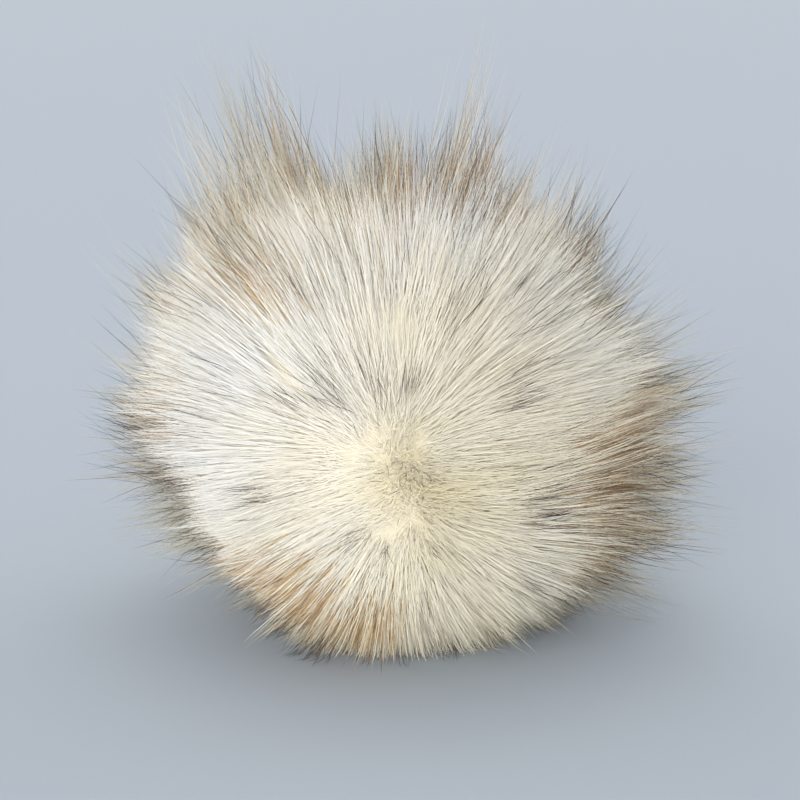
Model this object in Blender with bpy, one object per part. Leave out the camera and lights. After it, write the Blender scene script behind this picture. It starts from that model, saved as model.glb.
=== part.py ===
"""Long-haired fur pom pom, resting on a surface with its pile pressed short underneath.

Metres, +Z up, seen from the front along +Y. The origin is the middle of the small flat spot
that the pom pom rests on. One solid: a gathered ball of backing with the fur's 300 locks
fused to it by their roots, and a pressed tuft under it that carries the weight.
"""

import math

import bmesh
import bpy
from mathutils import Vector, noise

# The gathered ball of backing that the pile grows from
BALL_RADIUS = 0.024
BALL_HEIGHT = 0.034
BALL_CENTRE = Vector((0.0, 0.0, BALL_HEIGHT))
BALL_SUBDIVISIONS = 3  # an icosphere of 320 faces: 300 carry a lock and 20 the pressed tuft
BALL_UNEVEN = 0.13  # how far its corners shift sideways, as a share of the radius
BALL_UNEVEN_SIZE = 0.55  # in radians, seen from the middle of the ball
NOISE_SEED = 8  # keeps the vector noise the same from run to run

# How far the pile reaches from the middle of the ball
SIDE_REACH = 0.074
CROWN_REACH = 0.087
CROWN_SLOPE = 0.78  # the rise, along a unit direction, at which the pile is up to its crown reach
LOW_REACH = 0.054
LOW_SLOPE = 0.62  # the drop at which it is down to its low reach
REACH_UNEVEN = 0.0035  # broad lumps in the pile
REACH_LUMP_SIZE = 0.37  # in radians, seen from the middle of the ball
LOCK_UNEVEN = 0.0160  # each lock against its neighbours
LOCK_UNEVEN_SIZE = 0.053  # in radians

# A lock from root to tip: how far along it a ring lies, and how much of the lock's own cone
# the ring fills. Locks that keep inside their cones stand apart.
LOCK_RINGS = (
    {"along": 0.00, "fill": 0.80},
    {"along": 0.28, "fill": 0.70},
    {"along": 0.58, "fill": 0.56},
    {"along": 0.82, "fill": 0.30},
)

ROOT_INSET = 0.0004  # parts a lock's root from the next one before its rings are placed

# Long guard-hair tufts. clock is in degrees from straight up towards the right, seen from
# the front; front is in degrees towards the viewer; reach is from the middle of the ball;
# spread is the angle within which locks gather to the tuft.
TUFTS = (
    {"clock": -33, "front": 8, "reach": 0.114, "spread": 15},
    {"clock": -22, "front": -6, "reach": 0.120, "spread": 14},
    {"clock": -9, "front": -20, "reach": 0.099, "spread": 13},
    {"clock": 8, "front": 10, "reach": 0.113, "spread": 14},
    {"clock": 19, "front": -16, "reach": 0.099, "spread": 13},
    {"clock": 31, "front": 6, "reach": 0.103, "spread": 14},
    {"clock": 47, "front": -8, "reach": 0.095, "spread": 14},
    {"clock": 68, "front": 8, "reach": 0.087, "spread": 15},
    {"clock": 88, "front": -14, "reach": 0.085, "spread": 13},
    {"clock": 114, "front": 12, "reach": 0.086, "spread": 13},
    {"clock": -46, "front": -12, "reach": 0.092, "spread": 12},
    {"clock": -61, "front": 6, "reach": 0.088, "spread": 14},
    {"clock": -80, "front": -10, "reach": 0.084, "spread": 13},
    {"clock": -100, "front": 8, "reach": 0.080, "spread": 12},
    {"clock": -15, "front": -52, "reach": 0.088, "spread": 16},
    {"clock": 40, "front": -45, "reach": 0.084, "spread": 15},
    {"clock": -60, "front": -48, "reach": 0.082, "spread": 15},
    {"clock": 95, "front": -50, "reach": 0.078, "spread": 14},
    {"clock": 10, "front": 42, "reach": 0.086, "spread": 15},
)
TUFT_GATHER = 0.45  # how much a tuft's locks close in on its axis at their tips

# The slow wander of the locks away from straight radii
WANDER = 0.0065
WANDER_SIZE = 0.034
WANDER_LENGTH = 0.050  # how far out of the ball it takes to reach its full size
WANDER_FADE_HEIGHT = 0.020  # locks this near the surface lie without wandering

# Locks that reach the surface curve out of their fall and lie level on it
SETTLE_HEIGHT = 0.007

# The pressed tuft underneath: rings from the ball down to the flat spot
FOOT_RINGS = (
    {"height": 0.0085, "radius": 0.0125},
    {"height": 0.0015, "radius": 0.0160},
    {"height": 0.0000, "radius": 0.0150},
)
FOOT_FACES = 20
FOOT_RIM_SHARE = 0.78  # corners past this share of the widest one make the round rim

FUR_COLOUR = (0.80, 0.75, 0.66, 1.0)
FUR_ROUGHNESS = 0.75
SMOOTH_ANGLE = math.radians(40)


def tuft_axis(tuft):
    """Unit vector from the ball's middle along a tuft."""
    clock = math.radians(tuft["clock"])
    front = math.radians(tuft["front"])
    across = math.cos(front)
    return Vector((across * math.sin(clock), -math.sin(front), across * math.cos(clock)))


AXES = [tuft_axis(tuft) for tuft in TUFTS]


def smooth_step(x):
    x = min(1.0, max(0.0, x))
    return x * x * (3.0 - 2.0 * x)


def tuft_share(direction, axis, tuft):
    """From 1 on a tuft's axis to 0 at the edge of its spread."""
    return smooth_step(1.0 - direction.angle(axis) / math.radians(tuft["spread"]))


def pile_reach(direction):
    """How far from the ball's middle the locks reach in a direction, each a little unevenly."""
    reach = SIDE_REACH + (CROWN_REACH - SIDE_REACH) * smooth_step(direction.z / CROWN_SLOPE)
    reach += (LOW_REACH - SIDE_REACH) * smooth_step(-direction.z / LOW_SLOPE)
    reach += REACH_UNEVEN * noise.noise(direction / REACH_LUMP_SIZE)
    reach += LOCK_UNEVEN * noise.noise(direction / LOCK_UNEVEN_SIZE)
    for axis, tuft in zip(AXES, TUFTS):
        reach += max(0.0, tuft["reach"] - reach) * tuft_share(direction, axis, tuft)
    return reach


def lock_reach(direction):
    """How far a lock reaches: as the pile does there, and less where the surface stops it."""
    reach = pile_reach(direction)
    if direction.z < 0.0:
        reach = min(reach, (BALL_HEIGHT + SETTLE_HEIGHT) / -direction.z)
    return reach


def gathered(offset):
    """Draws a point, given from the ball's middle, in towards the axes of nearby tufts."""
    distance = offset.length
    direction = offset / distance
    for axis, tuft in zip(AXES, TUFTS):
        share = tuft_share(direction, axis, tuft)
        if share > 0.0:
            outward = smooth_step((distance - BALL_RADIUS) / (tuft["reach"] - BALL_RADIUS))
            direction = direction.lerp(axis, TUFT_GATHER * share * outward).normalized()
    return direction * distance


def wandered(point):
    """Moves a point by a slow noise that grows along the lock and dies out near the surface."""
    out = (point - BALL_CENTRE).length - BALL_RADIUS
    share = smooth_step(out / WANDER_LENGTH) * smooth_step(point.z / WANDER_FADE_HEIGHT)
    return point + noise.noise_vector(point / WANDER_SIZE) * WANDER * share


def settled(point):
    """Lifts what would pass through the surface, so that it comes in level and rests on it."""
    if point.z >= SETTLE_HEIGHT:
        return point
    above = max(0.0, point.z + SETTLE_HEIGHT)
    return Vector((point.x, point.y, above * above / (4.0 * SETTLE_HEIGHT)))


def placed(direction, reach):
    """The finished place of a point of the pile, given by its direction and distance."""
    return settled(wandered(BALL_CENTRE + gathered(direction * reach)))


def ring_places(corners, middle, reach, ring):
    """The corners of one ring of a lock."""
    distance = BALL_RADIUS + ring["along"] * (reach - BALL_RADIUS)
    return [placed(middle.lerp(corner, ring["fill"]).normalized(), distance) for corner in corners]


def grow_lock(bm, face):
    """Extrudes one face into a tapering lock that ends in a point."""
    corners = [(vert.co - BALL_CENTRE).normalized() for vert in face.verts]
    middle = sum(corners, Vector()).normalized()
    reach = lock_reach(middle)
    bmesh.ops.inset_individual(bm, faces=[face], thickness=ROOT_INSET)
    for step, ring in enumerate(LOCK_RINGS):
        if step:
            face = bmesh.ops.extrude_discrete_faces(bm, faces=[face])["faces"][0]
        for vert, place in zip(face.verts, ring_places(corners, middle, reach, ring)):
            vert.co = place
    tip = bmesh.ops.poke(bm, faces=[face])["verts"][0]
    tip.co = placed(middle, reach)


def press_foot(bm, faces):
    """Draws the lowest faces down together into a tuft with a flat spot on the surface."""
    region = list(faces)
    for ring in FOOT_RINGS:
        grown = bmesh.ops.extrude_face_region(bm, geom=region)["geom"]
        bmesh.ops.delete(bm, geom=region, context="FACES")
        region = [item for item in grown if isinstance(item, bmesh.types.BMFace)]
        verts = [item for item in grown if isinstance(item, bmesh.types.BMVert)]
        rim = max(vert.co.xy.length for vert in verts)
        for vert in verts:
            share = min(1.0, vert.co.xy.length / (FOOT_RIM_SHARE * rim))
            across = vert.co.xy.normalized() * (ring["radius"] * share)
            vert.co = Vector((across.x, across.y, ring["height"]))


def fur_material():
    material = bpy.data.materials.new("cream_fur")
    material.use_nodes = True
    shader = material.node_tree.nodes["Principled BSDF"]
    shader.inputs["Base Color"].default_value = FUR_COLOUR
    shader.inputs["Roughness"].default_value = FUR_ROUGHNESS
    shader.inputs["Metallic"].default_value = 0.0
    return material


def add_ball(bm):
    """The backing ball, its corners shifted a little along its surface."""
    bmesh.ops.create_icosphere(bm, subdivisions=BALL_SUBDIVISIONS, radius=BALL_RADIUS)
    for vert in bm.verts:
        direction = vert.co.normalized()
        above_foot = smooth_step(1.0 + direction.z)
        shift = noise.noise_vector(direction / BALL_UNEVEN_SIZE) * BALL_UNEVEN * above_foot
        vert.co = BALL_CENTRE + (direction + shift).normalized() * BALL_RADIUS


def build_fur_ball():
    bm = bmesh.new()
    add_ball(bm)
    by_height = sorted(bm.faces, key=lambda face: face.calc_center_median().z)
    foot_faces, lock_faces = by_height[:FOOT_FACES], by_height[FOOT_FACES:]
    for face in lock_faces:
        grow_lock(bm, face)
    press_foot(bm, foot_faces)
    bmesh.ops.recalc_face_normals(bm, faces=bm.faces)
    mesh = bpy.data.meshes.new("fur_ball")
    bm.to_mesh(mesh)
    bm.free()
    mesh.shade_smooth()
    mesh.set_sharp_from_angle(angle=SMOOTH_ANGLE)
    mesh.materials.append(fur_material())
    ball = bpy.data.objects.new("fur_ball", mesh)
    bpy.context.scene.collection.objects.link(ball)
    return ball


def clear_scene():
    for thing in list(bpy.data.objects):
        bpy.data.objects.remove(thing)


clear_scene()
noise.seed_set(NOISE_SEED)
build_fur_ball()
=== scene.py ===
import math

import bmesh
import bpy
import numpy as np
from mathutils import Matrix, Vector


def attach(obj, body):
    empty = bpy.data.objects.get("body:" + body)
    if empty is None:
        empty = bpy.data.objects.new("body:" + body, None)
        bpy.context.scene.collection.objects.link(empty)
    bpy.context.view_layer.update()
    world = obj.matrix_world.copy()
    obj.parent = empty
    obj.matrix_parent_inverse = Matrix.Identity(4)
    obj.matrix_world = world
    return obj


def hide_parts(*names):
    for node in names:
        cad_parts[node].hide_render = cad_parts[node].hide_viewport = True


# A long-haired fur pom pom, seen from the front along +Y. Its hairs are grown one by one:
# each belongs to a tuft, and each tuft to one of the frame's locks, whose line it follows.
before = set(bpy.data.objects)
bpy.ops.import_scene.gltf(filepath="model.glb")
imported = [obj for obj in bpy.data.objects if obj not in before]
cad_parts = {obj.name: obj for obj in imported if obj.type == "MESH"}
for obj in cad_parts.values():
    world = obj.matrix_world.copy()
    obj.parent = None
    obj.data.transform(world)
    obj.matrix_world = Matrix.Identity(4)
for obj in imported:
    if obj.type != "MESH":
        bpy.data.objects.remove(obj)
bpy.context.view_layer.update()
rng = np.random.default_rng(7)
print("frame loaded:", len(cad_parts), "node")

ball = {  # the gathered ball of backing, as the frame's solid has it
    "centre": np.array((0.0, 0.0, 0.034)),
    "radius": 0.024,
    "lockRings": 4,  # rings of corners below a lock's tip
    "nearestTip": 1.5,  # in radii of the ball: what ends closer in is no lock
    "lockKnots": np.array((0.0, 0.28, 0.58, 0.82, 1.0)),  # how far along a lock they and its tip lie
}

view = {  # the camera looks at the ball from the front, a little from above
    "elevation": 13.0,  # degrees
    "distance": 0.50,
    "scale": 0.00026,  # metres that one pixel covers at the ball's middle
    "middle": (392, 484),  # the pixel where the ball's middle is seen
    "size": 800,  # pixels
    "sensor": 36.0,  # millimetres
}
viewTilt = math.radians(view["elevation"])
toward = np.array((0.0, -math.cos(viewTilt), math.sin(viewTilt)))
upward = np.array((0.0, math.sin(viewTilt), math.cos(viewTilt)))
rightward = np.array((1.0, 0.0, 0.0))


def unit(v):
    return v / np.linalg.norm(v, axis=-1, keepdims=True)


def smooth(x):
    x = np.clip(x, 0.0, 1.0)
    return x * x * (3.0 - 2.0 * x)


def fromBall(p):
    return p - ball["centre"]


# a direction by its clock angle from the top and its angle towards the viewer, in degrees
def seenAt(clock, front):
    clock, front = math.radians(clock), math.radians(front)
    across = math.sin(clock) * rightward + math.cos(clock) * upward
    return math.cos(front) * across + math.sin(front) * toward


def degreesApart(d, direction):
    return np.degrees(np.arccos(np.clip(d @ direction, -1.0, 1.0)))


# 1 within half of a place's width, falling to 0 at one and a half
def near(d, place):
    return smooth(1.5 - degreesApart(d, seenAt(place["clock"], place["front"])) / place["wide"])


# directions spread evenly over the ball, each shifted by a share of their spacing
def evenDirections(count, jitter):
    i = np.arange(count) + 0.5
    z = 1.0 - 2.0 * i / count
    turn = math.pi * (1.0 + math.sqrt(5.0)) * i
    across = np.sqrt(1.0 - z * z)
    d = np.stack([across * np.cos(turn), across * np.sin(turn), z], 1)
    spacing = math.sqrt(4.0 * math.pi / count)
    return unit(d + rng.normal(0.0, jitter * spacing, d.shape))


waves = {
    "ways": unit(rng.normal(0.0, 1.0, (60, 3))),
    "phases": rng.uniform(0.0, 2.0 * math.pi, 60),
    "each": 12,  # waves in one noise
    "gain": 2.4,  # brings their mean to about -1 to 1
}


# slow noise over directions; size is in radians of the ball, which picks one of five noises
def drift(d, size, which):
    some = slice(which * waves["each"], (which + 1) * waves["each"])
    turns = d @ (waves["ways"][some].T / size) * 2.0 * math.pi
    return np.sin(turns + waves["phases"][some]).mean(1) * waves["gain"]


# each lock's line as a curve, from its root to its tip: P(s) = a + b s + c s2
def readLocks():
    bm = bmesh.new()
    bm.from_mesh(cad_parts["fur_ball"].data)
    bmesh.ops.remove_doubles(bm, verts=bm.verts, dist=1e-6)
    middle = Vector(ball["centre"])
    far = {v: (v.co - middle).length for v in bm.verts}
    lines = []
    for tip in bm.verts:
        around = [edge.other_vert(tip) for edge in tip.link_edges]
        isTip = len(around) == 3 and all(far[v] < far[tip] for v in around)
        if not isTip or far[tip] < ball["nearestTip"] * ball["radius"]:
            continue
        ring, seen = [tip], {tip}
        line = [tip.co.copy()]
        for _ in range(ball["lockRings"]):
            ring = {edge.other_vert(v) for v in ring for edge in v.link_edges} - seen
            ring = sorted(ring, key=lambda v: v.index)
            seen.update(ring)
            line.append(sum((v.co for v in ring), Vector()) / len(ring))
        lines.append([tuple(p) for p in reversed(line)])
    bm.free()
    lines = np.array(lines)
    powers = np.stack([ball["lockKnots"] ** power for power in range(3)], 1)
    return {
        "curve": np.einsum("kp,lpd->lkd", np.linalg.pinv(powers), lines),
        "root": unit(fromBall(lines[:, 0])),
        "reach": np.linalg.norm(fromBall(lines[:, -1]), axis=1),
    }


locks = readLocks()
locks["stray"] = rng.uniform(0.0, 1.0, len(locks["reach"])) ** 3
print("locks read:", len(locks["reach"]))

fur = {
    "side": 0.0634,  # how far the dense fur reaches from the ball's middle
    "rightward": 0.002,  # the right side reaches this much more, and the left this much less
    "crown": 0.0805,
    "crownSlope": 0.78,  # the rise, along a unit direction, at which the fur is up to its crown
    "low": 0.051,
    "lowSlope": 0.60,
    "lumps": (0.0030, 0.0022),  # broad and smaller unevenness around the edges
    "lumpSizes": (0.42, 0.16),
    "onFloor": 0.004,  # how far below the floor a hair may aim, to lie along it
    "floorSoftness": 0.0016,
    "floorGap": 0.0001,
    "lockWide": 7.5,  # degrees from a lock's middle within which hairs follow it outwards
    "stray": 0.007,  # how far past its tip the hairs of the longest lock go
    "room": 0.0068,  # how far the longest hairs may pass the locks
}

brushing = {  # the front is brushed: its tufts blend and lie even
    "begins": 0.30,  # how squarely a direction faces the viewer where it begins
    "over": 0.45,
    "even": 0.85,  # how much less ragged its hairs are
    "shorter": 0.7,  # how much less its long hairs stand out
    "fewerDark": 0.8,
}

parting = {  # the short line at the front that the fur is combed away from
    "ends": (seenAt(-5, 81), seenAt(150, 83)),
    "opens": 16.0,  # degrees from the line at which the combing is full
    "fades": (25.0, 88.0),
    "swirl": 0.28,
    "extra": 0.05,  # share of the hairs that are added about it
    "extraSpread": 0.27,
}

points = (  # tufts that stand out from the edge; clock, front and wide are in degrees
    {"clock": -57, "front": 2, "wide": 7, "by": 0.014},
    {"clock": -71, "front": 8, "wide": 8, "by": 0.012},
    {"clock": -78, "front": -8, "wide": 6, "by": 0.009},
    {"clock": -88, "front": 6, "wide": 8, "by": 0.011},
    {"clock": -99, "front": 0, "wide": 8, "by": 0.013},
    {"clock": -110, "front": 8, "wide": 7, "by": 0.012},
    {"clock": -128, "front": 2, "wide": 7, "by": 0.012},
    {"clock": 42, "front": 6, "wide": 8, "by": 0.012},
    {"clock": 53, "front": -4, "wide": 7, "by": 0.009},
    {"clock": 64, "front": 6, "wide": 8, "by": 0.013},
    {"clock": 75, "front": -2, "wide": 8, "by": 0.010},
    {"clock": 87, "front": 10, "wide": 7, "by": 0.009},
    {"clock": 98, "front": 0, "wide": 7, "by": 0.011},
    {"clock": 112, "front": 10, "wide": 8, "by": 0.014},
    {"clock": 122, "front": 16, "wide": 7, "by": 0.012},
    {"clock": 135, "front": 14, "wide": 7, "by": 0.010},
    {"clock": -52, "front": -40, "wide": 9, "by": 0.010},
    {"clock": -85, "front": -38, "wide": 9, "by": 0.011},
    {"clock": 60, "front": -36, "wide": 9, "by": 0.010},
    {"clock": 88, "front": -42, "wide": 9, "by": 0.011},
    {"clock": 20, "front": -62, "wide": 10, "by": 0.005},
    {"clock": -110, "front": -60, "wide": 10, "by": 0.005},
)
pointGather = 0.80  # how much of the way to a point's middle its hairs close in

shaping = (  # where the fur lies closer in than elsewhere, in metres
    {"clock": -116, "front": 5, "wide": 30, "by": -0.011},
    {"clock": -84, "front": 5, "wide": 26, "by": -0.003},
    {"clock": -54, "front": 5, "wide": 15, "by": -0.009},
    {"clock": 52, "front": 5, "wide": 15, "by": -0.009},
)

tanPatches = (
    {"clock": -68, "front": 40, "wide": 8, "tan": 0.8},
    {"clock": -97, "front": 40, "wide": 8, "tan": 0.8},
    {"clock": -82, "front": 14, "wide": 12, "tan": 0.3},
    {"clock": -118, "front": 24, "wide": 14, "tan": 0.6},
    {"clock": -29, "front": 52, "wide": 5, "tan": 0.6},
    {"clock": -32, "front": 40, "wide": 6, "tan": 0.5},
    {"clock": -44, "front": 24, "wide": 14, "tan": 0.45},
    {"clock": 2, "front": 36, "wide": 14, "tan": 0.22},
    {"clock": -28, "front": 6, "wide": 11, "tan": 0.45},
    {"clock": -9, "front": 15, "wide": 8, "tan": 1.0, "deep": 0.06},
    {"clock": 4, "front": 18, "wide": 10, "tan": 1.0, "deep": 0.06},
    {"clock": 20, "front": 22, "wide": 9, "tan": 1.0, "deep": 0.04},
    {"clock": 44, "front": 20, "wide": 9, "tan": 0.5},
    {"clock": 68, "front": 24, "wide": 10, "tan": 0.5},
    {"clock": 86, "front": 60, "wide": 6, "tan": 1.0, "deep": 0.04},
    {"clock": 92, "front": 50, "wide": 11, "tan": 1.0, "deep": 0.08},
    {"clock": 80, "front": 38, "wide": 9, "tan": 0.9, "deep": 0.08},
    {"clock": 98, "front": 38, "wide": 13, "tan": 1.0, "deep": 0.08},
    {"clock": 128, "front": 16, "wide": 9, "tan": 0.5},
    {"clock": -140, "front": 60, "wide": 12, "tan": 1.0, "deep": 0.03},
    {"clock": -165, "front": 58, "wide": 12, "tan": 0.9},
)

casts = (  # zones of cooler or warmer white
    {"clock": -66, "front": 50, "wide": 30, "shift": -0.16},
    {"clock": -2, "front": 45, "wide": 18, "shift": -0.04},
    {"clock": 26, "front": 38, "wide": 22, "shift": -0.14},
    {"clock": 130, "front": 84, "wide": 10, "shift": 0.04},
    {"clock": 0, "front": 84, "wide": 7, "shift": 0.02},
    {"clock": 165, "front": 52, "wide": 28, "shift": 0.02},
)

darkHairAndShadePlaces = (  # where dark-tipped hairs stand thick
    # this first place's dark-tipped hairs grey the upper right: painted shade made of hairs
    {"clock": 32, "front": 54, "wide": 9, "dark": 0.12},
    {"clock": 95, "front": 60, "wide": 6, "dark": 0.4},
    {"clock": -30, "front": 38, "wide": 6, "dark": 0.3},
    {"clock": 22, "front": 40, "wide": 10, "dark": 0.06},
    {"clock": -84, "front": 20, "wide": 12, "dark": 1.1},
    {"clock": -112, "front": 22, "wide": 15, "dark": 0.9},
    {"clock": -29, "front": 6, "wide": 9, "dark": 0.8},
    {"clock": 9, "front": 9, "wide": 7, "dark": 0.6},
    {"clock": 45, "front": 16, "wide": 14, "dark": 0.5},
    {"clock": 75, "front": 16, "wide": 12, "dark": 0.4},
    {"clock": 100, "front": 20, "wide": 12, "dark": 0.5},
    {"clock": 125, "front": 18, "wide": 14, "dark": 0.2},
    {"clock": -145, "front": 36, "wide": 14, "dark": 0.5},
)

darkClumps = (  # small clumps of dark hairs near the middle of the front
    {"clock": -33, "front": 71, "wide": 6.0, "hairs": 34},
    {"clock": -48, "front": 68, "wide": 2.4, "hairs": 10},
    {"clock": -8, "front": 73, "wide": 2.4, "hairs": 16},
    {"clock": 5, "front": 72, "wide": 1.6, "hairs": 10},
    {"clock": -30, "front": 86, "wide": 3.6, "hairs": 18},
    {"clock": 50, "front": 84, "wide": 3.6, "hairs": 18},
    {"clock": -150, "front": 78, "wide": 1.4, "hairs": 12},
    {"clock": 180, "front": 78, "wide": 1.0, "hairs": 8},
    {"clock": 150, "front": 77, "wide": 1.6, "hairs": 6},
    {"clock": 94, "front": 62, "wide": 4.4, "hairs": 12},
    {"clock": 103, "front": 64, "wide": 1.4, "hairs": 9},
    {"clock": 52, "front": 64, "wide": 3.0, "hairs": 9},
    {"clock": 33, "front": 51, "wide": 4.0, "hairs": 10},
    {"clock": 44, "front": 47, "wide": 4.0, "hairs": 8},
    {"clock": 20, "front": 60, "wide": 2.4, "hairs": 12},
    {"clock": -20, "front": 56, "wide": 2.6, "hairs": 7},
    {"clock": -95, "front": 66, "wide": 2.6, "hairs": 12},
    {"clock": 125, "front": 56, "wide": 3.0, "hairs": 7},
)


# from 0 where the brushed front begins to 1
def brushed(d):
    return smooth((d @ toward - brushing["begins"]) / brushing["over"])


def shaped(d):
    return sum(place["by"] * near(d, place) for place in shaping)


# 1 in the middle of a point, falling to 0 at its edge
def inPoint(d, point):
    return smooth(1.0 - degreesApart(d, seenAt(point["clock"], point["front"])) / point["wide"])


def denseReach(d):
    crown = smooth(d[:, 2] / fur["crownSlope"])
    low = smooth(-d[:, 2] / fur["lowSlope"])
    side = fur["side"] + fur["rightward"] * d[:, 0]
    reach = side + (fur["crown"] - side) * crown + (fur["low"] - side) * low
    lumps = [h * drift(d, size, 4) for h, size in zip(fur["lumps"], fur["lumpSizes"])]
    return reach + sum(lumps) * (1.0 - brushed(d)) * (1.0 - low) + shaped(d)


def tanShare(d):
    turnedAway = 1.0 - 0.85 * smooth((d @ toward - 0.1) / 0.4)
    share = 0.6 * smooth((drift(d, 1.0, 0) - 0.5) / 0.4) * turnedAway
    for place in tanPatches:
        share = np.maximum(share, place["tan"] * near(d, place))
    return share


def castShift(d):
    return sum(place["shift"] * near(d, place) for place in casts)


def darkDensity(d):
    density = (0.25 + 0.25 * drift(d, 0.7, 1)) * (1.0 - brushing["fewerDark"] * brushed(d))
    # the places add dark-tipped hairs, and at the first of them painted shade
    return density + sum(place["dark"] * near(d, place) for place in darkHairAndShadePlaces)


# which way and how much the fur is combed, along the ball's surface
def combing(d):
    start, end = parting["ends"]
    line = end - start
    along = np.clip((d - start) @ line / (line @ line), 0.0, 1.0)
    closest = unit(start + along[:, None] * line)
    off = d - closest
    away = unit(off - (off * d).sum(1, keepdims=True) * d + 1e-9)
    apart = np.degrees(np.linalg.norm(off, axis=1))
    begins, ends = parting["fades"]
    share = smooth(apart / parting["opens"]) * smooth((ends - apart) / (ends - begins))
    sideways = np.cross(d, away) * (parting["swirl"] * drift(d, 0.55, 2))[:, None]
    return (away + sideways) * share[:, None]


tuftWays = {
    "count": 2600,
    "jitter": 0.35,  # how far they are from evenly spread, as a share of their spacing
    "wisps": 0.12,  # share of them with a few longer hairs
    "spikes": 0.5,  # share of them that draw together to a point
}


def makeTufts(count):
    d = evenDirections(count, tuftWays["jitter"])
    wisp = rng.uniform(0.0, 1.0, count) < tuftWays["wisps"]
    spike = rng.uniform(0.0, 1.0, count) < tuftWays["spikes"]
    return {
        "d": d,
        "lock": np.argmax(d @ locks["root"].T, 1),
        "lean": rng.normal(0.0, 1.0, (count, 3)),
        "draw": rng.uniform(0.5, 1.0, count),
        "comb": rng.uniform(0.45, 1.2, count),
        "tone": rng.normal(0.0, 1.0, count),
        "length": rng.normal(0.0, 1.0, count).clip(-1.6, 1.6),
        "wisp": np.where(wisp, rng.uniform(0.3, 1.0, count), 0.0),
        "spike": np.where(spike, rng.uniform(0.25, 1.0, count), 0.0),
    }


tufts = makeTufts(tuftWays["count"])
print("tufts placed:", len(tufts["d"]))


def nearestTuft(d, step=8000):
    parts = [np.argmax(d[i:i + step] @ tufts["d"].T, 1) for i in range(0, len(d), step)]
    return np.concatenate(parts)


# hairs that turn to where the fur is shorter or longer follow its reach there
def fitted(p, far, dense, t):
    change = denseReach(unit(fromBall(p[:, -1]))) / dense - 1.0
    return far * (1.0 + change[:, None] * t)


# keeps hairs on the floor: shortened where they meet it, and levelled out just above it
def onFloor(p, far):
    way = unit(fromBall(p))
    floorFar = (ball["centre"][2] + fur["onFloor"]) / np.maximum(-way[..., 2], 1e-3)
    p = ball["centre"] + way * np.minimum(far, floorFar)[..., None]
    soft = fur["floorSoftness"]
    level = np.clip(p[..., 2] + soft, 0.0, None) ** 2 / (4.0 * soft)
    p[..., 2] = np.where(p[..., 2] < soft, level, p[..., 2]) + fur["floorGap"]
    return p


# the stations of each hair, from root to tip, for hairs rooted in the directions d
def growHairs(d, kind):
    n = len(d)
    tuft = nearestTuft(d)
    lock = tufts["lock"][tuft]
    reach = locks["reach"][lock]
    dense = np.minimum(denseReach(d), reach)
    even = brushed(d)
    ragged = 1.0 - brushing["even"] * even
    uneven = kind["uneven"] * tufts["length"][tuft] * ragged
    shortest, longest = kind["ends"]
    shortest = shortest + (longest - shortest) * 0.5 * even
    end = dense * (shortest + (longest - shortest) * rng.uniform(0.0, 1.0, n)) * (1.0 + uneven)
    off = np.degrees(np.arccos(np.clip((d * locks["root"][lock]).sum(1), -1.0, 1.0)))
    longer = kind["follow"] * (1.0 - smooth(off / fur["lockWide"])) * rng.uniform(0.6, 1.0, n)
    isLong = rng.uniform(0.0, 1.0, n) < kind["long"]
    longer = np.maximum(longer, isLong * rng.uniform(0.0, 1.0, n) ** kind["thinning"])
    longer = longer * (1.0 - brushing["shorter"] * even)
    farthest = reach * kind["beyond"] + fur["stray"] * locks["stray"][lock] + shaped(d)
    end = end + longer * np.maximum(0.0, farthest - end)
    end = end + kind["wisp"] * tufts["wisp"][tuft] * rng.uniform(0.2, 1.0, n)
    spike = tufts["spike"][tuft] * (1.0 - even)
    end = end + kind["spike"] * spike * rng.uniform(0.2, 1.0, n)
    end = end + sum(point["by"] * inPoint(d, point) for point in points)
    end = np.minimum(end, reach + fur["room"] * rng.uniform(0.5, 1.0, n))
    start = (rng.uniform(*kind["start"], n) + kind["frontStart"] * even) * dense
    t = np.array(kind["stations"])[None, :]
    far = start[:, None] + (end - start)[:, None] * t

    s = (far - ball["radius"]) / (reach - ball["radius"])[:, None]
    curve = locks["curve"][lock][:, :, None]
    p = curve[:, 0] + curve[:, 1] * s[..., None] + curve[:, 2] * s[..., None] ** 2
    drawn = smooth((s - 0.35) / 0.75)[..., None]
    lockPull = (kind["lockPull"] * (1.0 - brushing["even"] * even))[:, None, None] * drawn
    toTuft = (tufts["d"][tuft] - locks["root"][lock])[:, None] * (1.0 - lockPull)
    pull = (kind["tuftPull"] * tufts["draw"][tuft] * ragged).clip(0.0, 1.0)
    pull = (pull + (0.96 - pull) * 0.8 * smooth(spike * 2.0))[:, None, None] * drawn
    p = p + (toTuft + (d - tufts["d"][tuft])[:, None] * (1.0 - pull)) * far[..., None]
    for point in points:
        toPoint = (seenAt(point["clock"], point["front"]) - d) * inPoint(d, point)[:, None]
        p = p + pointGather * toPoint[:, None] * drawn * far[..., None]

    length = (end - start)[:, None, None]
    outer = (t ** 1.4)[..., None]
    combed = kind["comb"] * tufts["comb"][tuft] * (1.0 + kind["frontComb"] * even)
    comb = combing(d) * combed[:, None]
    lean = tufts["lean"][tuft] * kind["tuftLean"] + rng.normal(0.0, kind["lean"], (n, 3))
    bow = rng.normal(0.0, kind["bow"], (n, 1, 3)) * (4.0 * t * (1.0 - t))[..., None]
    p = p + ((comb + lean)[:, None] * outer + bow) * length
    return {"p": onFloor(p, fitted(p, far, denseReach(d), t)), "d": d, "tuft": tuft, "t": t[0]}


hairTwist = 0.12  # how far a hair's flat side strays from facing outwards
hairLight = 0.95  # how much a hair takes the light as the whole mass does, not as a rod


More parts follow.
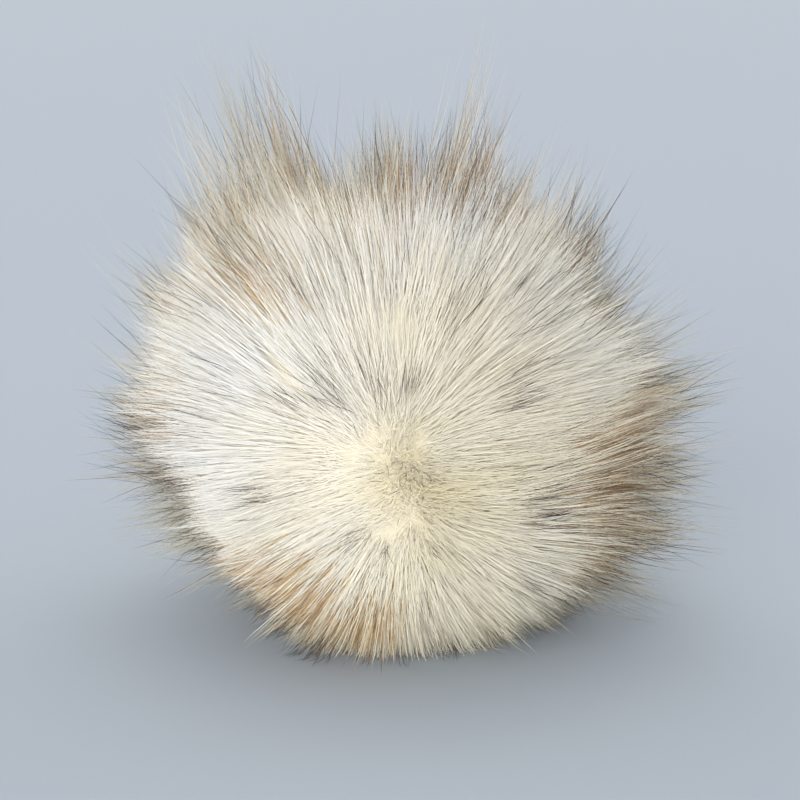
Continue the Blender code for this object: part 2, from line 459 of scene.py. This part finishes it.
# the corners and faces of one closed three-sided hair: a root point, rings and a tip point
def hairFaces(t):
    rings = len(t) - 2
    tip = 3 * rings + 1
    faces = []
    for side in range(3):
        a, b = 1 + side, 1 + (side + 1) % 3
        faces.append(((0, b, a), ((side + 0.5, t[0]), (side + 1, t[1]), (side, t[1]))))
        for ring in range(rings - 1):
            low, high = t[ring + 1], t[ring + 2]
            at = 3 * ring
            corners = ((side, low), (side + 1, low), (side + 1, high), (side, high))
            faces.append(((a + at, b + at, b + at + 3, a + at + 3), corners))
        at = 3 * (rings - 1)
        corners = ((side, t[-2]), (side + 1, t[-2]), (side + 0.5, t[-1]))
        faces.append(((a + at, b + at, tip), corners))
    return faces


# one mesh of many hairs; its map has the hair's tone across and its root to tip upwards
def hairMesh(name, hairs, kind, hairTones):
    p = hairs["p"]
    n, stations = p.shape[:2]
    rings = stations - 2
    ahead = unit(p[:, -1] - p[:, 0])
    outward = unit(fromBall(p[:, -2])) + rng.normal(0.0, hairTwist, (n, 3))
    side = unit(np.cross(outward, ahead))
    other = np.cross(ahead, side)
    turn = (np.arange(3) * 2.0 / 3.0 + 1.0 / 6.0) * math.pi  # the first two make the outward side
    round3 = side[:, None] * np.cos(turn)[:, None] + other[:, None] * np.sin(turn)[:, None]
    half = kind["width"] / 2.0 * rng.uniform(0.75, 1.25, n)[:, None] * np.array(kind["shape"])
    ring = p[:, 1:-1, None] + round3[:, None] * half[..., None, None]
    verts = np.concatenate([p[:, :1], ring.reshape(n, rings * 3, 3), p[:, -1:]], 1)

    faces = hairFaces(hairs["t"])
    perHair = rings * 3 + 2
    loops = np.array([corner for face, _ in faces for corner in face])
    places = np.array([place for _, places in faces for place in places])
    loops = (loops[None] + perHair * np.arange(n)[:, None]).ravel()
    counts = np.tile([len(face) for face, _ in faces], n)
    starts = np.concatenate([[0], np.cumsum(counts)[:-1]])
    across = (places[:, 0] / 3.0 - 0.5) * 0.008
    u = np.clip(hairTones, 0.01, 0.99)[:, None] + across
    v = np.tile(places[:, 1] ** kind["early"], (n, 1))

    mesh = bpy.data.meshes.new(name)
    mesh.vertices.add(n * perHair)
    mesh.vertices.foreach_set("co", verts.astype(np.float32).ravel())
    mesh.loops.add(len(loops))
    mesh.loops.foreach_set("vertex_index", loops.astype(np.int32))
    mesh.polygons.add(len(counts))
    mesh.polygons.foreach_set("loop_start", starts.astype(np.int32))
    mesh.polygons.foreach_set("use_smooth", np.ones(len(counts), bool))
    layer = mesh.uv_layers.new(name="OFBake")
    layer.uv.foreach_set("vector", np.stack([u, v], -1).astype(np.float32).ravel())
    mesh.update(calc_edges=True)

    mass = unit(fromBall(verts))
    rod = np.repeat(round3[:, None], rings, 1).reshape(n, rings * 3, 3)
    rod = np.concatenate([mass[:, :1], rod, mass[:, -1:]], 1)
    lit = unit(hairLight * mass + (1.0 - hairLight) * rod).reshape(-1, 3)
    mesh.normals_split_custom_set_from_vertices(lit.astype(np.float32))
    piece = bpy.data.objects.new(name, mesh)
    bpy.context.scene.collection.objects.link(piece)
    print(name + ":", n, "hairs,", 6 * rings * n, "triangles")
    return piece


hairColours = {  # tone: (root, middle, band, tip)
    0.03: ((234, 236, 234), (238, 243, 247), (242, 246, 250), (240, 244, 248)),
    0.18: ((240, 234, 216), (246, 243, 234), (245, 242, 233), (241, 238, 230)),
    0.33: ((242, 233, 207), (247, 241, 222), (244, 237, 216), (238, 230, 209)),
    0.48: ((240, 225, 178), (244, 233, 196), (240, 228, 188), (229, 214, 180)),
    0.62: ((236, 218, 178), (234, 211, 168), (214, 178, 124), (188, 152, 110)),
    0.75: ((232, 210, 166), (212, 176, 124), (172, 126, 76), (122, 86, 54)),
    0.87: ((226, 216, 196), (190, 172, 148), (128, 106, 86), (58, 50, 46)),
    0.97: ((226, 220, 208), (160, 152, 142), (84, 80, 78), (24, 24, 28)),
}
hairStops = ((0.05, 0.35), (0.50, 0.72), (0.78, 0.95))  # root to middle, to band, to tip
hairFinish = {"roughness": 0.5, "specular": 0.35}


def toLinear(rgb):
    values = [c / 255.0 for c in rgb]
    linear = [c / 12.92 if c <= 0.04045 else ((c + 0.055) / 1.055) ** 2.4 for c in values]
    return (*linear, 1.0)


def newMaterial(name, roughness, specular):
    material = bpy.data.materials.new(name)
    material.use_nodes = True
    shader = material.node_tree.nodes["Principled BSDF"]
    shader.inputs["Roughness"].default_value = roughness
    shader.inputs["Specular IOR Level"].default_value = specular
    return material, material.node_tree.nodes, material.node_tree.links, shader


# a ramp of the colours that the tones have at one part of the hair
def toneRamp(nodes, links, tone, part):
    ramp = nodes.new("ShaderNodeValToRGB")
    links.new(tone, ramp.inputs["Fac"])
    elements = ramp.color_ramp.elements
    ats = sorted(hairColours)
    elements[0].position = ats[0]
    elements[-1].position = ats[-1]
    for at in ats[1:-1]:
        elements.new(at)
    for element, at in zip(elements, ats):
        element.color = toLinear(hairColours[at][part])
    return ramp.outputs["Color"]


def hairMaterial():
    roughness, specular = hairFinish["roughness"], hairFinish["specular"]
    material, nodes, links, shader = newMaterial("cream_fur", roughness, specular)
    places = nodes.new("ShaderNodeUVMap")
    places.uv_map = "OFBake"
    split = nodes.new("ShaderNodeSeparateXYZ")
    links.new(places.outputs["UV"], split.inputs[0])
    colour = toneRamp(nodes, links, split.outputs["X"], 0)
    for part, (begins, ends) in enumerate(hairStops):
        step = nodes.new("ShaderNodeMapRange")
        step.interpolation_type = "SMOOTHSTEP"
        step.inputs["From Min"].default_value = begins
        step.inputs["From Max"].default_value = ends
        links.new(split.outputs["Y"], step.inputs["Value"])
        mix = nodes.new("ShaderNodeMix")
        mix.data_type = "RGBA"
        links.new(step.outputs["Result"], mix.inputs["Factor"])
        links.new(colour, mix.inputs["A"])
        links.new(toneRamp(nodes, links, split.outputs["X"], part + 1), mix.inputs["B"])
        colour = mix.outputs["Result"]
    links.new(colour, shader.inputs["Base Color"])
    return material


furMaterial = hairMaterial()


def finishPiece(piece, material):
    piece.data.materials.append(material)
    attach(piece, "root")
    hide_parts("fur_ball")


core = {  # the fur's soft depth, where single hairs no longer show
    "share": 0.69,  # how far out it lies, of the dense fur's reach
    "frontShare": 0.872,
    "uneven": 0.004,
    "unevenSize": 0.35,
    "subdivisions": 6,
    # cream darkened below the hairs' own colours: painted shade that the hairs above would cast in
    # the fur's depth
    "colours": ((222, 215, 194), (232, 225, 205)),
    "colourPlaces": (0.3, 0.7),
    "mottle": 220.0,
    "mottleDetail": 4.0,
    "roughness": 0.9,
    "specular": 0.2,
}


def deepMaterial():
    material, nodes, links, shader = newMaterial("deep_fur_shaded", core["roughness"], core["specular"])
    places = nodes.new("ShaderNodeTexCoord")
    noise = nodes.new("ShaderNodeTexNoise")
    noise.inputs["Scale"].default_value = core["mottle"]
    noise.inputs["Detail"].default_value = core["mottleDetail"]
    links.new(places.outputs["Object"], noise.inputs["Vector"])
    # mottled between the two darkened creams, the painted shade of the fur's depth
    ramp = nodes.new("ShaderNodeValToRGB")
    for element, at, colour in zip(ramp.color_ramp.elements, core["colourPlaces"], core["colours"]):
        element.position = at
        element.color = toLinear(colour)
    links.new(noise.outputs["Fac"], ramp.inputs["Fac"])
    links.new(ramp.outputs["Color"], shader.inputs["Base Color"])
    return material


def makeCore():
    bpy.ops.object.select_all(action="DESELECT")
    bpy.ops.mesh.primitive_ico_sphere_add(subdivisions=core["subdivisions"], radius=1.0)
    piece = bpy.context.object
    piece.name = piece.data.name = "fur_depth"
    verts = piece.data.vertices
    d = np.empty(len(verts) * 3, np.float32)
    verts.foreach_get("co", d)
    d = unit(d.reshape(-1, 3).astype(float))
    share = core["share"] + (core["frontShare"] - core["share"]) * brushed(d)
    share = share + core["uneven"] * drift(d, core["unevenSize"], 3)
    p = onFloor(ball["centre"] + d, denseReach(d) * share)
    verts.foreach_set("co", p.astype(np.float32).ravel())
    piece.data.update()
    bpy.ops.object.shade_smooth()
    finishPiece(piece, deepMaterial())


makeCore()
print("core made")

underfur = {
    "count": 46000, "parts": 2, "ends": (0.80, 0.97), "uneven": 0.05,
    "follow": 0.30, "long": 0.0, "thinning": 1.0, "beyond": 0.96, "wisp": 0.0, "spike": 0.003,
    "start": (0.58, 0.66), "frontStart": 0.22,
    "stations": (0.0, 0.50, 1.0), "shape": (1.0,), "width": 0.00025,
    "lockPull": 0.60, "tuftPull": 0.35, "comb": 1.0, "frontComb": 0.7,
    "tuftLean": 0.08, "lean": 0.22, "bow": 0.08, "early": 1.0, "tan": 0.6,
}
pile = {
    "count": 78000, "parts": 3, "ends": (0.84, 1.02), "uneven": 0.06,
    "follow": 0.80, "long": 0.28, "thinning": 1.5, "beyond": 1.02, "wisp": 0.006, "spike": 0.005,
    "start": (0.58, 0.66), "frontStart": 0.20,
    "stations": (0.0, 0.50, 1.0), "shape": (1.0,), "width": 0.00019,
    "lockPull": 0.88, "tuftPull": 0.55, "comb": 1.1, "frontComb": 0.9,
    "tuftLean": 0.08, "lean": 0.10, "bow": 0.05, "early": 1.0, "tan": 0.9,
}
guardHair = {
    "count": 14000, "parts": 1, "ends": (0.96, 1.06), "uneven": 0.03,
    "follow": 1.0, "long": 0.85, "thinning": 1.0, "beyond": 1.07, "wisp": 0.010, "spike": 0.004,
    "start": (0.58, 0.66), "frontStart": 0.15,
    "stations": (0.0, 0.40, 0.75, 1.0), "shape": (1.0, 0.7), "width": 0.00018,
    "lockPull": 0.96, "tuftPull": 0.55, "comb": 1.0, "frontComb": 0.7,
    "tuftLean": 0.035, "lean": 0.03, "bow": 0.02, "early": 1.0, "tan": 0.4,
}
darkHair = {
    "count": 4200, "parts": 1, "ends": (1.00, 1.14), "uneven": 0.03,
    "follow": 0.8, "long": 0.45, "thinning": 1.2, "beyond": 1.06, "wisp": 0.004, "spike": 0.004,
    "start": (0.58, 0.66), "frontStart": 0.30,
    "stations": (0.0, 0.45, 0.75, 1.0), "shape": (1.0, 0.9), "width": 0.00014,
    "lockPull": 0.75, "tuftPull": 0.40, "comb": 0.75, "frontComb": 0.0,
    "tuftLean": 0.08, "lean": 0.10, "bow": 0.05, "early": 0.45,
    "clusters": 500, "clusterSize": 0.020, "sparsest": 0.02,
}


tones = {  # where the hairs lie among the hair colours
    "cream": 0.33,
    "slow": 0.05,  # how far cream varies over the ball
    "slowSize": 0.5,
    "byTuft": 0.02,
    "byHair": 0.02,
    "palest": 0.02,
    "deepestCream": 0.50,
    "tan": (0.54, 0.78),
    "deepestShift": 0.20,
    "dark": (0.84, 0.99),
    "darkClump": (0.89, 0.99),
}


def paleTones(hairs, kind):
    d, n = hairs["d"], len(hairs["d"])
    tone = tones["cream"] + castShift(d) + tones["slow"] * drift(d, tones["slowSize"], 4)
    tone = tone + tones["byTuft"] * tufts["tone"][hairs["tuft"]] + rng.normal(0.0, tones["byHair"], n)
    tone = np.clip(tone, tones["palest"], tones["deepestCream"])
    isTan = rng.uniform(0.0, 1.0, n) < kind["tan"] * tanShare(d)
    deep = sum(place.get("deep", 0.0) * near(d, place) for place in tanPatches)
    deep = deep.clip(0.0, tones["deepestShift"])
    return np.where(isTan, rng.uniform(*tones["tan"], n) + deep, tone)


# evenly over the ball, but for some more about the parting, where combing opens the fur
def hairRoots(count):
    d = unit(rng.normal(0.0, 1.0, (count, 3)))
    extra = int(parting["extra"] * count)
    d[:extra] = unit(toward + rng.normal(0.0, parting["extraSpread"], (extra, 3)))
    return d


def addPale(name, kind):
    for part in range(kind["parts"]):
        d = hairRoots(kind["count"] // kind["parts"])
        hairs = growHairs(d, kind)
        hairTones = paleTones(hairs, kind)
        finishPiece(hairMesh(f"{name}_{part + 1}", hairs, kind, hairTones), furMaterial)


# dark-tipped hairs stand in clusters, thick in some places
def addDark(name, kind):
    centres = evenDirections(kind["clusters"] * 4, 0.5)
    density = np.maximum(darkDensity(centres), kind["sparsest"])
    size = rng.uniform(0.3, 1.0, len(centres)) ** 2 * density
    cluster = rng.choice(len(centres), kind["count"], p=size / size.sum())
    d = [centres[cluster] + rng.normal(0.0, kind["clusterSize"], (kind["count"], 3))]
    for clump in darkClumps:
        spread = math.radians(clump["wide"]) / 2.0
        middle = seenAt(clump["clock"], clump["front"])
        d.append(middle + rng.normal(0.0, spread, (clump["hairs"], 3)))
    d = unit(np.concatenate(d))
    hairs = growHairs(d, kind)
    hairTones = rng.uniform(*tones["dark"], len(d))
    hairTones[kind["count"]:] = rng.uniform(*tones["darkClump"], len(d) - kind["count"])
    finishPiece(hairMesh(name, hairs, kind, hairTones), furMaterial)


addPale("underfur", underfur)
addPale("pile", pile)
addPale("guard_hair", guardHair)
addDark("dark_hair", darkHair)
print("fur grown")

studio = {
    "floorRadius": 15.0,
    "floorSides": 96,
    "floorRoughness": 0.9,
    "floorSpecular": 0.1,
    "floorColour": (0.44, 0.49, 0.55, 1.0),
    "worldColour": (0.97, 0.98, 1.0, 1.0),
    "worldStrength": 0.64,
    "lights": (  # wide soft ones, so that the floor is lit evenly; spread is in degrees
        {
            "name": "key", "from": (-1.55, -2.15, 0.50), "spread": 50, "power": 1.00,
            "colour": (1.0, 0.98, 0.95),
        },
        {
            "name": "front", "from": (-0.35, -2.60, 0.45), "spread": 40, "power": 2.60,
            "colour": (1.0, 0.985, 0.96),
        },
        {
            "name": "fill", "from": (1.90, -1.80, 0.54), "spread": 50, "power": 0.05,
            "colour": (1.0, 0.98, 0.95),
        },
        {
            "name": "top", "from": (-0.20, 1.30, 2.54), "spread": 50, "power": 0.45,
            "colour": (0.97, 0.98, 1.0),
        },
        {
            "name": "back", "from": (1.70, 1.90, 0.50), "spread": 60, "power": 1.00,
            "colour": (1.0, 0.985, 0.96),
        },
        {
            "name": "back_left", "from": (-1.30, 2.10, 0.50), "spread": 60, "power": 0.90,
            "colour": (1.0, 0.985, 0.96),
        },
    ),
}


def makeStudio():
    bpy.ops.object.select_all(action="DESELECT")
    bpy.ops.mesh.primitive_circle_add(
        vertices=studio["floorSides"], radius=studio["floorRadius"], fill_type="NGON"
    )
    floor = bpy.context.object
    floor.name = "floor"
    roughness, specular = studio["floorRoughness"], studio["floorSpecular"]
    material, _, _, shader = newMaterial("floor_paper", roughness, specular)
    shader.inputs["Base Color"].default_value = studio["floorColour"]
    floor.data.materials.append(material)
    for lamp in studio["lights"]:
        data = bpy.data.lights.new(lamp["name"], "SUN")
        data.angle = math.radians(lamp["spread"])
        data.energy = lamp["power"]
        data.color = lamp["colour"]
        light = bpy.data.objects.new(lamp["name"], data)
        bpy.context.scene.collection.objects.link(light)
        light.location = lamp["from"]
        light.rotation_euler = Vector(lamp["from"]).to_track_quat("Z", "Y").to_euler()
    world = bpy.data.worlds.new("studio")
    world.use_nodes = True
    sky = world.node_tree.nodes["Background"]
    sky.inputs["Color"].default_value = studio["worldColour"]
    sky.inputs["Strength"].default_value = studio["worldStrength"]
    bpy.context.scene.world = world
    bpy.context.scene.view_settings.view_transform = "Standard"


def makeCamera():
    x, y = view["middle"]
    half = view["size"] / 2.0
    shift = (half - x) * rightward + (y - half) * upward
    target = ball["centre"] + shift * view["scale"]
    data = bpy.data.cameras.new("camera")
    data.sensor_width = view["sensor"]
    data.lens = data.sensor_width * view["distance"] / (view["size"] * view["scale"])
    camera = bpy.data.objects.new("camera", data)
    bpy.context.scene.collection.objects.link(camera)
    camera.location = target + toward * view["distance"]
    camera.rotation_euler = Vector(-toward).to_track_quat("-Z", "Y").to_euler()
    bpy.context.scene.camera = camera


makeStudio()
makeCamera()
print("studio and camera set")
